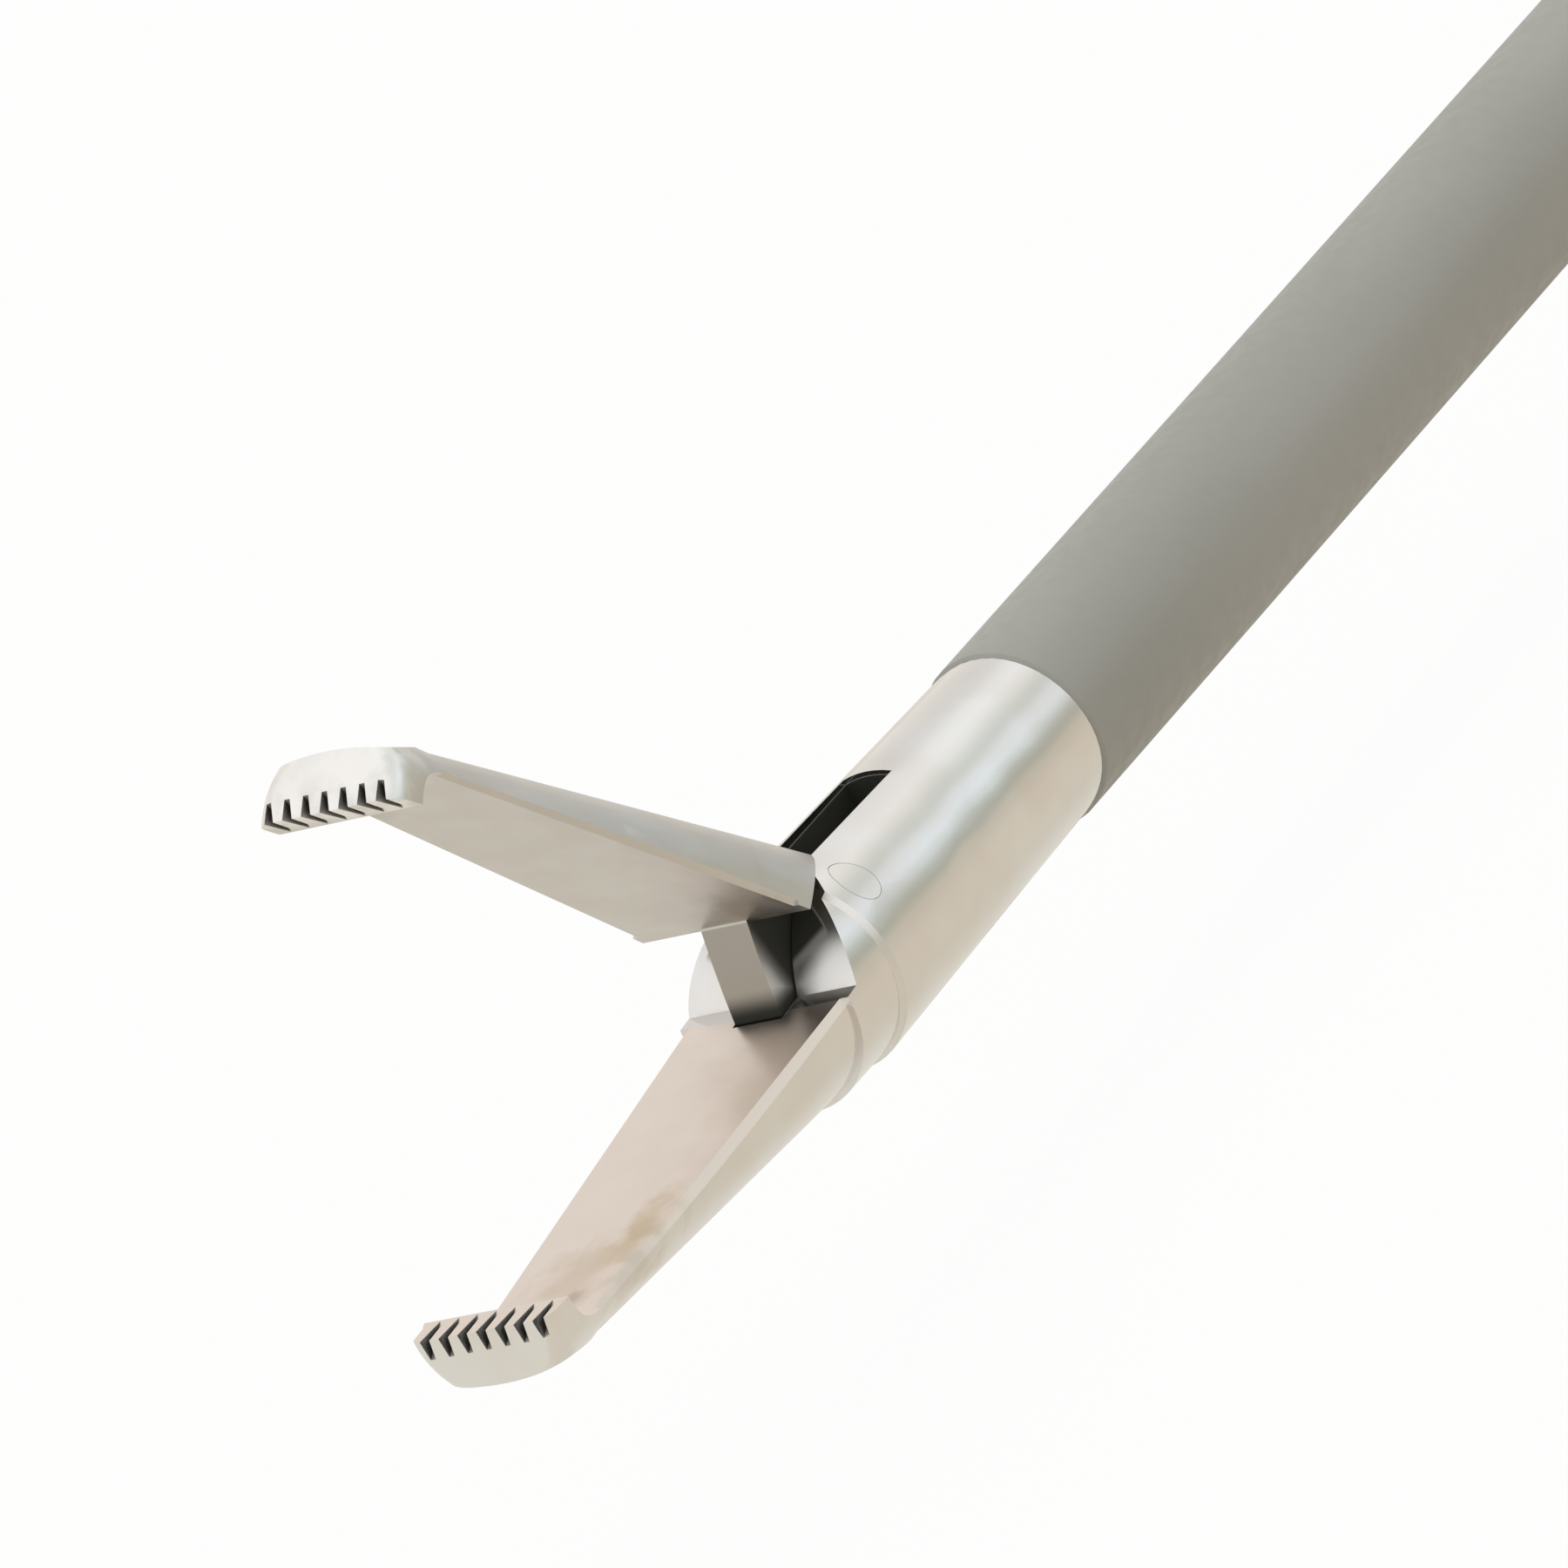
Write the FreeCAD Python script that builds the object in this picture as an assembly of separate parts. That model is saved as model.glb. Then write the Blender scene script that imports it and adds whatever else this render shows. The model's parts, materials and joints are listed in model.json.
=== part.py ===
"""Endoscopic grasping forceps with one fixed and one moving toothed jaw.

The origin lies on the shaft's axis at the front end of the grey sleeve. +X points to the jaw tips,
+Z the way the moving jaw opens, and the ring handle lies flat in the XY plane with its rings at -Y.
The jaws are modelled open, as far as they go. All lengths are in millimetres, angles in degrees.
"""

import FreeCAD, Part
import math
import os

V = FreeCAD.Vector

# Fits, as gaps on the radius or between faces, and how far a cutter runs past what it cuts
glue_gap = 0.02
press_gap = 0.01
running_gap = 0.03
journal_gap = 0.05
thrust_gap = 0.10
head_gap = 0.10
past = 1.0

# Shaft
sleeve_d = 5.0
tube_d = 4.2
tube_bore_d = 3.6
sleeve_length = 212.0
sleeve_edge = 0.12

# Polished end piece
barrel_back_d = 4.86
barrel_front_d = 5.40
barrel_length = 11.15
barrel_step_length = 0.15
root_x = 13.25
jaw_bar_overlap = 1.0
spigot_length = 6.0
rod_bore_d = 2.7
bore_front_wall = 1.55

# Jaws, measured from the jaw root at root_x
jaw_length = 14.7
jaw_root_d = 5.15
moving_root_d = 5.40
jaw_waist_back = 2.70
jaw_waist_d = 4.18
jaw_tip_d = 4.30
nose_bulge = 0.05
nose_round = 0.50
nose_depth = 1.48
nose_relief_back = 3.30
nose_relief_depth = 2.12
nose_relief_r = 8.0
close_z = 0.38
tooth_gap = 0.03
land_length = 0.99
groove_drop = 0.53
groove_pitch = 0.567
groove_top_width = 0.30
groove_floor_width = 0.16
fixed_groove_count = 8
fixed_groove_shift = -0.17
moving_groove_count = 7
moving_groove_shift = 0.0
flat_root_z = 0.23
flat_tip_z = -0.67
recess_back = 2.15
rim_chamfer = 0.16
open_angle = 41.8

# Mouth of the end piece: the cheeks' front edge, behind and above the jaw root
mouth_toe = (-0.50, 0.27)
mouth_mid = (-1.35, 1.50)
mouth_top = (-3.45, 2.72)
heel_gap = (0.14, 0.105)
heel_trim = 0.50

# Slot, tang, pivot and drive pin
slot_width = 1.50
slot_back = 7.6
pivot_back = 3.05
pivot_z = 1.80
pivot_pin_d = 1.0
tang_thickness = 1.40
tang_reach = 3.70
tang_neck_top = (-0.25, 3.10)
tang_neck_mid = (0.12, 1.45)
foot_depth = 0.45
tang_sweep_gap = 0.10
eye_r = 0.84
drive_arm = 1.80
drive_pin_d = 0.80
drive_pin_inset = 0.15
drive_wall = 0.34

# Pull rod
rod_d = 1.6
fork_d = 2.6
fork_slot_width = 1.50
fork_nose = 0.34
fork_slot_back = 1.50
fork_back = 8.0
fork_socket = 4.0
pin_slot_height = 0.40
guide_gap = 0.05
guide_length = 8.0
guide_inset = 1.0
guide_count = 3

# Rotation knob and its bearing
knob_d = 15.6
knob_nose_d = 9.0
knob_length = 17.0
knob_overlap = 2.0
knob_edge = 0.8
knob_shoulder_length = 5.0
knob_shoulder_mid = (3.0, 1.2)
flute_count = 8
flute_d = 6.0
flute_depth = 1.3
flute_back = 2.5
hub_d = 7.0
hub_tail = 3.9
set_screw_d = 2.0
set_screw_length = 3.6
set_screw_seat = 0.35
set_screw_socket = 1.0
set_screw_socket_depth = 0.9
bush_d = 10.0
bush_length = 14.0
bush_flange_d = 13.0
bush_flange_thickness = 1.0
clip_thickness = 0.8
clip_d = 10.0
clip_groove_d = 6.0
clip_mouth = 4.6
o_ring_wire_d = 0.66
o_ring_back = 8.0

# Handle
body_half_z = 8.0
body_top_y = 9.0
body_bottom_y = -15.0
body_back = 23.4
throat_length = 19.0
body_corner = 5.0
body_round = 2.2
cavity_d = 11.0
cavity_length = 6.0
partition_thickness = 3.5
seal_d = 6.0
seal_shelf = 0.8
rod_way_d = 2.6
lever_room_half_z = 3.05
lever_room_roof_y = 5.0
rear_wall = 4.0
rear_wall_above_pivot = 1.5

finger_ring_back = 7.9
finger_ring_y = -47.0
finger_ring_half_x = 15.5
finger_ring_half_y = 20.5
ring_bar_width = 7.0
ring_bar_height = 9.6
arm_back = 1.0
arm_waist_drop = 2.0
arm_halves = ((9.0, 6.6), (6.2, 5.6), (7.6, 4.6))

# Thumb lever, pivot and ball
lever_pivot_back = 10.4
ball_arm = 7.0
lever_thickness = 5.0
lever_hub_d = 13.0
lever_wall = 2.7
lever_top_y = 3.3
lever_corner = 1.6
lever_arm_root = 2.0
lever_arm_waist = 0.55
lever_arm_halves = ((5.2, 2.45), (4.4, 3.6), (6.5, 4.4))
thumb_reach = 55.0
thumb_dir = -113.0
thumb_ring_r = 15.5
ball_d = 4.5
ball_gap = 0.05
neck_d = 2.6
neck_length = 6.0
neck_way_gap = 0.80
neck_side_gap = 0.20
lock_nut_flats = 4.0
lock_nut_thickness = 1.6
shoulder_d = 4.0
thread_d = 2.8
screw_head_d = 7.5
screw_head_thickness = 2.4
screw_head_sunk = 0.2
driver_slot_width = 1.0
driver_slot_depth = 0.9
washer_thickness = 0.5
washer_d = 10.0

# Flush port and connector pin
port_boss_d = 9.4
port_seat_y = 8.6
port_base_d = 5.5
port_flange_d = 8.0
port_flange_thickness = 1.4
port_luer_d = 6.2
port_lip_d = 7.4
port_lip_height = 1.2
port_height = 8.0
port_bore_d = 4.1
cap_d = 9.0
cap_roof = 1.6
cap_round = 0.6
connector_back = 6.5
connector_d = 4.0
connector_free = 10.0
connector_root_d = 2.8
connector_sunk = 3.0
connector_round = 0.9
collar_d = 8.0
collar_height = 1.6

# Values worked out from the ones above
jaw_travel = math.radians(open_angle)
rod_travel = 2 * drive_arm * math.sin(jaw_travel / 2)
lever_travel = 2 * math.asin(rod_travel / (2 * ball_arm))
pivot_x = root_x - pivot_back
drive_x = pivot_x + drive_arm * math.sin(jaw_travel / 2)
drive_z = pivot_z - drive_arm * math.cos(jaw_travel / 2)
pivot_at = V(pivot_x, 0, pivot_z)
jaw_waist_x = jaw_length - jaw_waist_back
recess_x = jaw_length - recess_back
jaw_bar_x = barrel_length + barrel_step_length - jaw_bar_overlap
knob_back_x = -sleeve_length + knob_overlap - knob_length
hub_front_x = -sleeve_length
flange_back_x = knob_back_x - thrust_gap - bush_flange_thickness
bush_back_x = flange_back_x - bush_length
hub_back_x = bush_back_x - hub_tail
partition_x = bush_back_x - cavity_length
clip_front_x = bush_back_x - thrust_gap
o_ring_x = flange_back_x - o_ring_back
set_screw_x = (knob_back_x + hub_front_x) / 2
lever_room_x = partition_x - partition_thickness
lever_pivot_x = lever_room_x - lever_pivot_back
body_back_x = lever_room_x - body_back
port_x = (partition_x + bush_back_x) / 2
connector_x = lever_pivot_x - connector_back
finger_ring_x = flange_back_x - finger_ring_back
ball_x = lever_pivot_x + rod_travel / 2
lever_pivot_y = -ball_arm * math.cos(lever_travel / 2)
rod_front_x = drive_x - fork_back + fork_socket - glue_gap
screw_seat_z = body_half_z - screw_head_thickness - screw_head_sunk


def rod_along_x(d, x_low, x_high, y=0.0, z=0.0):
    """A round bar along X between two stations."""
    return Part.makeCylinder(d / 2, x_high - x_low, V(x_low, y, z), V(1, 0, 0))


def rod_along_y(d, y_low, y_high, x=0.0, z=0.0):
    return Part.makeCylinder(d / 2, y_high - y_low, V(x, y_low, z), V(0, 1, 0))


def rod_along_z(d, z_low, z_high, x=0.0, y=0.0):
    return Part.makeCylinder(d / 2, z_high - z_low, V(x, y, z_low), V(0, 0, 1))


def block(x_low, x_high, y_low, y_high, z_low, z_high):
    return Part.makeBox(x_high - x_low, y_high - y_low, z_high - z_low, V(x_low, y_low, z_low))


def tube_along_x(outer, inner, x_low, x_high):
    return rod_along_x(outer, x_low, x_high).cut(rod_along_x(inner, x_low - past, x_high + past))


def line(a, b):
    return Part.LineSegment(a, b).toShape()


def arc(a, b, c):
    return Part.Arc(a, b, c).toShape()


def plate(edges, offset, depth):
    """A flat face made from edges, moved by offset and pulled out by depth."""
    face = Part.Face(Part.Wire(edges))
    face.translate(offset)
    return face.extrude(depth)


def jaw_point(x, z):
    """A point of the side profile, given from the jaw root."""
    return V(root_x + x, 0, z)


def jaw_bar(root_d):
    """The tapering round bar that a jaw is cut from: its axis climbs to the closing plane."""
    start = V(jaw_bar_x, 0, 0)
    axis = jaw_point(jaw_length, close_z) - start
    length = axis.Length
    waist = V(length - jaw_waist_back, 0, jaw_waist_d / 2)
    tip = V(length, 0, jaw_tip_d / 2)
    bulge = (waist + tip) * 0.5 + V(nose_bulge, 0, nose_bulge)
    profile = Part.Face(Part.Wire([
        line(V(0, 0, 0), V(0, 0, root_d / 2)), line(V(0, 0, root_d / 2), waist), arc(waist, bulge, tip),
        line(tip, V(length, 0, 0)), line(V(length, 0, 0), V(0, 0, 0))]))
    bar = profile.revolve(V(0, 0, 0), V(1, 0, 0), 360)
    tip_rim = [e for e in bar.Edges if e.Closed and e.CenterOfMass.x > waist.x + nose_round]
    bar = bar.makeFillet(nose_round, tip_rim)
    bar.rotate(V(0, 0, 0), V(0, 1, 0), -math.degrees(math.atan2(axis.z, axis.x)))
    bar.translate(start)
    return bar


def nose_relief(side):
    """What is ground off the bar's back towards the tip, so that the nose is flatter than it is wide.

    side is -1 under the fixed jaw and 1 over the moving one.
    """
    start = jaw_point(jaw_length - nose_relief_back, close_z + side * nose_relief_depth)
    end = jaw_point(jaw_length, close_z + side * nose_depth)
    along = end - start
    along.normalize()
    inward = V(side * along.z, 0, -side * along.x)
    flatter = Part.makeCylinder(
        nose_relief_r, 2 * jaw_length, start + inward * nose_relief_r - along * jaw_length, along)
    low_z, high_z = sorted((close_z, close_z + side * sleeve_d))
    return block(start.x, end.x + past, -sleeve_d, sleeve_d, low_z, high_z).cut(flatter)


def side_profile(clear_z, far_z, heel_edges, heel_start, heel_end):
    """The jaws' inner side: tooth land, hollow behind it, long flat, then the heel edges.

    It bounds the space over the fixed jaw, and, turned upside down, the space under the moving one.
    """
    beyond = jaw_length + past
    land_back = jaw_length - land_length
    hollow_r = land_back - recess_x
    hollow_mid = jaw_point(recess_x + hollow_r * math.sin(math.pi / 4),
                           flat_tip_z + (clear_z - flat_tip_z) * (1 - math.cos(math.pi / 4)))
    return [
        line(jaw_point(beyond, clear_z), jaw_point(land_back, clear_z)),
        arc(jaw_point(land_back, clear_z), hollow_mid, jaw_point(recess_x, flat_tip_z)),
        line(jaw_point(recess_x, flat_tip_z), heel_start),
        *heel_edges,
        line(heel_end, V(heel_end.x, 0, far_z)),
        line(V(heel_end.x, 0, far_z), jaw_point(beyond, far_z)),
        line(jaw_point(beyond, far_z), jaw_point(beyond, clear_z)),
    ]


def mouth_space():
    """Everything in front of the cheeks and above the fixed jaw."""
    root = jaw_point(0, flat_root_z)
    toe = jaw_point(*mouth_toe)
    mid = jaw_point(*mouth_mid)
    top = jaw_point(*mouth_top)
    heel_edges = [line(root, toe), arc(toe, mid, top)]
    edges = side_profile(close_z - tooth_gap, 2 * sleeve_d, heel_edges, root, top)
    return plate(edges, V(0, -sleeve_d, 0), V(0, 2 * sleeve_d, 0))


def tooth_grooves(count, shift):
    """V grooves across the lip's corner, sloping from the back of the land down the end face."""
    back = jaw_point(jaw_length - land_length, close_z)
    front = jaw_point(jaw_length, close_z - groove_drop)
    along = front - back
    along.normalize()
    outward = V(-along.z, 0, along.x)
    corner_depth = (jaw_point(jaw_length, close_z) - back).dot(outward)
    reach = 2 * land_length
    grooves = []
    for k in range(count):
        y = (k - (count - 1) / 2) * groove_pitch + shift
        floor = back - along * reach + V(0, y, 0)
        slope = (groove_top_width - groove_floor_width) / corner_depth
        top = outward * (2 * corner_depth)
        half_floor = V(0, groove_floor_width / 2, 0)
        half_top = V(0, groove_floor_width / 2 + slope * corner_depth, 0)
        corners = [floor - half_floor, floor + half_floor, floor + top + half_top, floor + top - half_top]
        sides = [line(corners[i], corners[(i + 1) % 4]) for i in range(4)]
        grooves.append(plate(sides, V(0, 0, 0), along * (3 * reach)))
    return Part.makeCompound(grooves)


def rim_point(x, z, root_d, side):
    """Where the flat meets the jaw's round back, at a station along the jaw."""
    bar_start = jaw_bar_x - root_x
    share = (x - bar_start) / (jaw_waist_x - bar_start)
    radius = root_d / 2 + (jaw_waist_d - root_d) / 2 * share
    axis_z = close_z * (x - bar_start) / (jaw_length - bar_start)
    return V(root_x + x, side * math.sqrt(radius ** 2 - (z - axis_z) ** 2), z)


def rim_breakers(root_d, root_z, tip_z, upward):
    """Wedges that break the two long edges of a flat; upward is +1 on the fixed jaw."""
    wedges = []
    for side in (-1, 1):
        near = rim_point(0, root_z, root_d, side)
        far = rim_point(recess_x, tip_z, root_d, side)
        along = far - near
        out = V(0, side, upward)
        across = along.cross(out)
        across.normalize()
        out = across.cross(along)
        out.normalize()
        base = near - out * (rim_chamfer / math.sqrt(2))
        half = across * jaw_waist_d
        high = out * jaw_waist_d
        corners = [base - half, base + half, base + half + high, base - half + high]
        sides = [line(corners[i], corners[(i + 1) % 4]) for i in range(4)]
        wedges.append(plate(sides, V(0, 0, 0), along))
    return Part.makeCompound(wedges)


def tang_slot():
    """The slot between the cheeks, with a round floor that the tang's foot sweeps over."""
    half = slot_width / 2
    top = block(root_x - slot_back, root_x, -half, half, 0, sleeve_d)
    sweep = rod_along_y(2 * (tang_reach + tang_sweep_gap), -half, half, pivot_x, pivot_z)
    return top.fuse(sweep)


def jaw_body():
    front = V(barrel_length, 0, barrel_front_d / 2)
    step = V(barrel_length + barrel_step_length, 0, jaw_root_d / 2)
    outline = [
        V(0, 0, 0), V(0, 0, barrel_back_d / 2), front, step, V(root_x, 0, jaw_root_d / 2), V(root_x, 0, 0)]
    edges = [line(outline[i], outline[(i + 1) % len(outline)]) for i in range(len(outline))]
    barrel = Part.Face(Part.Wire(edges)).revolve(V(0, 0, 0), V(1, 0, 0), 360)
    whole = barrel.fuse(jaw_bar(jaw_root_d)).removeSplitter()
    spigot = rod_along_x(tube_bore_d - 2 * glue_gap, -spigot_length, past)
    whole = whole.fuse(spigot)
    whole = whole.cut(mouth_space())
    whole = whole.cut(nose_relief(-1))
    whole = whole.cut(rim_breakers(jaw_root_d, flat_root_z, flat_tip_z, 1))
    whole = whole.cut(tooth_grooves(fixed_groove_count, fixed_groove_shift))
    whole = whole.cut(tang_slot())
    whole = whole.cut(rod_along_x(rod_bore_d, -spigot_length - past, root_x - bore_front_wall))
    pin_hole = rod_along_y(pivot_pin_d + 2 * press_gap, -sleeve_d, sleeve_d, pivot_x, pivot_z)
    return whole.cut(pin_hole)


def heel_space():
    """What lies in front of the cheeks by the heel's gap, while the jaws are closed."""
    gap = V(heel_gap[0], 0, heel_gap[1])
    toe = jaw_point(*mouth_toe) + gap
    mid = jaw_point(*mouth_mid) + gap
    top = jaw_point(*mouth_top) + gap
    far_x = root_x + 2 * jaw_length
    high_z = 2 * sleeve_d
    edges = [
        line(toe, V(far_x, 0, toe.z)), line(V(far_x, 0, toe.z), V(far_x, 0, high_z)),
        line(V(far_x, 0, high_z), V(top.x, 0, high_z)), line(V(top.x, 0, high_z), top), arc(top, mid, toe)]
    space = plate(edges, V(0, -sleeve_d, 0), V(0, 2 * sleeve_d, 0))
    trimmed = block(pivot_x + heel_trim, far_x, -sleeve_d, sleeve_d, -sleeve_d, high_z)
    return space.common(trimmed)


def moving_jaw():
    """Built closed, mirrored from the fixed jaw's profile, then swung open about the pivot."""
    flat_slope = (flat_root_z - flat_tip_z) / recess_x
    start = jaw_point(-root_x, flat_root_z + flat_slope * root_x)
    below = side_profile(close_z - tooth_gap, 2 * sleeve_d, [], start, start)
    space = plate(below, V(0, -sleeve_d, 0), V(0, 2 * sleeve_d, 0))
    closing_plane = V(0, 0, close_z)
    space = space.mirror(closing_plane, V(0, 0, 1))
    grooves = tooth_grooves(moving_groove_count, moving_groove_shift).mirror(closing_plane, V(0, 0, 1))
    head = jaw_bar(moving_root_d).common(heel_space()).cut(space).cut(nose_relief(1))
    head = head.cut(rim_breakers(moving_root_d, 2 * close_z - flat_root_z, 2 * close_z - flat_tip_z, -1))
    head = head.cut(grooves)
    head.rotate(pivot_at, V(0, 1, 0), -open_angle)
    whole = head.fuse(tang()).removeSplitter()
    whole = whole.cut(rod_along_y(pivot_pin_d + 2 * running_gap, -sleeve_d, sleeve_d, pivot_x, pivot_z))
    return whole.cut(rod_along_y(drive_pin_d + 2 * press_gap, -sleeve_d, sleeve_d, drive_x, drive_z))


def tang_front(z):
    """Where the tang's round front edge crosses a height."""
    return V(pivot_x + math.sqrt(tang_reach ** 2 - (pivot_z - z) ** 2), 0, z)


def tang():
    """The flat plate under the heel: eye round the pivot, foot in front, boss round the drive pin."""
    half = tang_thickness / 2
    foot = tang_front(flat_root_z)
    sole = tang_front(flat_root_z - foot_depth)
    neck_top = jaw_point(*tang_neck_top)
    neck_mid = jaw_point(*tang_neck_mid)
    boss_r = drive_pin_d / 2 + drive_wall
    boss_low = V(drive_x, 0, drive_z - boss_r)
    boss_back = V(drive_x - boss_r, 0, drive_z)
    eye_back = V(pivot_x - eye_r, 0, pivot_z)
    eye_top = V(pivot_x, 0, pivot_z + eye_r)
    edges = [
        arc(neck_top, neck_mid, foot), line(foot, sole), line(sole, boss_low), line(boss_low, boss_back),
        line(boss_back, eye_back), line(eye_back, eye_top), line(eye_top, neck_top)]
    web = plate(edges, V(0, -half, 0), V(0, 2 * half, 0))
    eye = rod_along_y(2 * eye_r, -half, half, pivot_x, pivot_z)
    boss = rod_along_y(2 * boss_r, -half, half, drive_x, drive_z)
    return web.fuse(eye).fuse(boss)


def jaw_pivot_pin():
    """Pressed in and ground flush, so that its ends follow the round cheeks."""
    pin = rod_along_y(pivot_pin_d, -sleeve_d, sleeve_d, pivot_x, pivot_z)
    flush = Part.makeCone(barrel_back_d / 2, barrel_front_d / 2, barrel_length, V(0, 0, 0), V(1, 0, 0))
    return pin.common(flush)


def drive_pin():
    half = fork_d / 2 - drive_pin_inset
    return rod_along_y(drive_pin_d, -half, half, drive_x, drive_z)


def rod_fork():
    """A round fork over the boss; its pin slot is upright, because the drive pin moves on an arc."""
    nose_x = drive_x + drive_pin_d / 2 + fork_nose
    back_x = drive_x - fork_back
    slot_half = fork_slot_width / 2
    pin_half = drive_pin_d / 2 + running_gap
    low_z = drive_z - pin_slot_height / 2
    high_z = drive_z + pin_slot_height / 2
    fork = rod_along_x(fork_d, back_x, nose_x)
    fork = fork.cut(block(drive_x - fork_slot_back, nose_x + past, -slot_half, slot_half, -fork_d, fork_d))
    pin_slot = block(drive_x - pin_half, drive_x + pin_half, -fork_d, fork_d, low_z, high_z)
    for z in (low_z, high_z):
        pin_slot = pin_slot.fuse(rod_along_y(2 * pin_half, -fork_d, fork_d, drive_x, z))
    fork = fork.cut(pin_slot)
    return fork.cut(rod_along_x(rod_d + 2 * glue_gap, back_x - past, back_x + fork_socket))


def pull_rod():
    return rod_along_x(rod_d, ball_x + ball_d / 2 + glue_gap, rod_front_x)


def shaft_tube():
    return tube_along_x(tube_d, tube_bore_d, hub_back_x, 0)


def insulating_sleeve():
    sleeve = tube_along_x(sleeve_d, tube_d + 2 * glue_gap, -sleeve_length, 0)
    outer_d = tube_d + sleeve_edge
    front_rim = [e for e in sleeve.Edges if e.CenterOfMass.x > -past and e.BoundBox.YLength > outer_d]
    return sleeve.makeChamfer(sleeve_edge, front_rim)


def rod_guides():
    """Plastic guides, evenly spread along the tube between the spigot and the handle."""
    first = -spigot_length - guide_length
    last = hub_back_x + guide_inset
    pitch = (first - last) / (guide_count - 1)
    guides = []
    for k in range(guide_count):
        x = last + k * pitch
        guides.append(tube_along_x(tube_bore_d - 2 * glue_gap, rod_d + 2 * guide_gap, x, x + guide_length))
    return guides


def rotation_knob():
    front = knob_back_x + knob_length
    shoulder = front - knob_shoulder_length
    r = knob_d / 2
    mid_x, mid_drop = knob_shoulder_mid
    outline = [
        line(V(knob_back_x, 0, 0), V(knob_back_x, 0, r - knob_edge)),
        line(V(knob_back_x, 0, r - knob_edge), V(knob_back_x + knob_edge, 0, r)),
        line(V(knob_back_x + knob_edge, 0, r), V(shoulder, 0, r)),
        arc(V(shoulder, 0, r), V(shoulder + mid_x, 0, r - mid_drop), V(front, 0, knob_nose_d / 2)),
        line(V(front, 0, knob_nose_d / 2), V(front, 0, 0)),
        line(V(front, 0, 0), V(knob_back_x, 0, 0)),
    ]
    knob = Part.Face(Part.Wire(outline)).revolve(V(0, 0, 0), V(1, 0, 0), 360)
    flutes = []
    flute_r = r - flute_depth + flute_d / 2
    for k in range(flute_count):
        angle = 2 * math.pi * (k + 0.5) / flute_count
        y = flute_r * math.cos(angle)
        z = flute_r * math.sin(angle)
        flutes.append(rod_along_x(flute_d, knob_back_x + flute_back, front + past, y, z))
    knob = knob.cut(Part.makeCompound(flutes))
    knob = knob.cut(rod_along_x(sleeve_d + 2 * journal_gap, hub_front_x - past, front + past))
    knob = knob.cut(rod_along_x(hub_d + 2 * glue_gap, knob_back_x - past, hub_front_x))
    return knob.cut(rod_along_z(set_screw_d + 2 * glue_gap, 0, knob_d, set_screw_x))


def knob_set_screw():
    """A headless screw through the knob, with its foot in a flat seat in the hub."""
    low = hub_d / 2 - set_screw_seat
    top = low + set_screw_length
    screw = rod_along_z(set_screw_d, low, top, set_screw_x)
    socket = hexagon_along_z(set_screw_socket, top - set_screw_socket_depth, top + past)
    socket.translate(V(set_screw_x, 0, 0))
    return screw.cut(socket)


def hexagon_along_z(flats, z_low, z_high):
    r = flats / math.sqrt(3)
    corners = [V(r * math.cos(math.pi * k / 3), r * math.sin(math.pi * k / 3), z_low) for k in range(6)]
    sides = [line(corners[k], corners[(k + 1) % 6]) for k in range(6)]
    return plate(sides, V(0, 0, 0), V(0, 0, z_high - z_low))


def shaft_hub():
    """The metal sleeve that carries the tube in the bushing, with its screw seat and two grooves."""
    hub = tube_along_x(hub_d, tube_d + 2 * glue_gap, hub_back_x, hub_front_x)
    seat = rod_along_z(set_screw_d + 2 * glue_gap, hub_d / 2 - set_screw_seat, hub_d, set_screw_x)
    clip_spare = thrust_gap / 2
    clip_back_x = clip_front_x - clip_thickness
    clip_groove = tube_along_x(
        2 * hub_d, clip_groove_d, clip_back_x - clip_spare, clip_front_x + clip_spare)
    floor_d = hub_d + 2 * journal_gap - 2 * o_ring_wire_d - 4 * glue_gap
    ring_groove = tube_along_x(2 * hub_d, floor_d, o_ring_x - o_ring_wire_d, o_ring_x + o_ring_wire_d)
    return hub.cut(seat).cut(clip_groove).cut(ring_groove)


def hub_o_ring():
    middle_r = hub_d / 2 + journal_gap - o_ring_wire_d / 2 - glue_gap
    return Part.makeTorus(middle_r, o_ring_wire_d / 2, V(o_ring_x, 0, 0), V(1, 0, 0))


def hub_retaining_ring():
    """An open clip that keeps the hub from coming forward out of the bushing."""
    back_x = clip_front_x - clip_thickness
    ring = tube_along_x(clip_d, clip_groove_d + 2 * glue_gap, back_x, clip_front_x)
    mouth = block(back_x - past, clip_front_x + past, -clip_d, 0, -clip_mouth / 2, clip_mouth / 2)
    return ring.cut(mouth)


def front_bushing():
    flange_front_x = flange_back_x + bush_flange_thickness
    bush = rod_along_x(bush_d, bush_back_x, flange_back_x)
    flange = rod_along_x(bush_flange_d, flange_back_x, flange_front_x)
    bore = rod_along_x(hub_d + 2 * journal_gap, bush_back_x - past, flange_front_x + past)
    return bush.fuse(flange).cut(bore)


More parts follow.
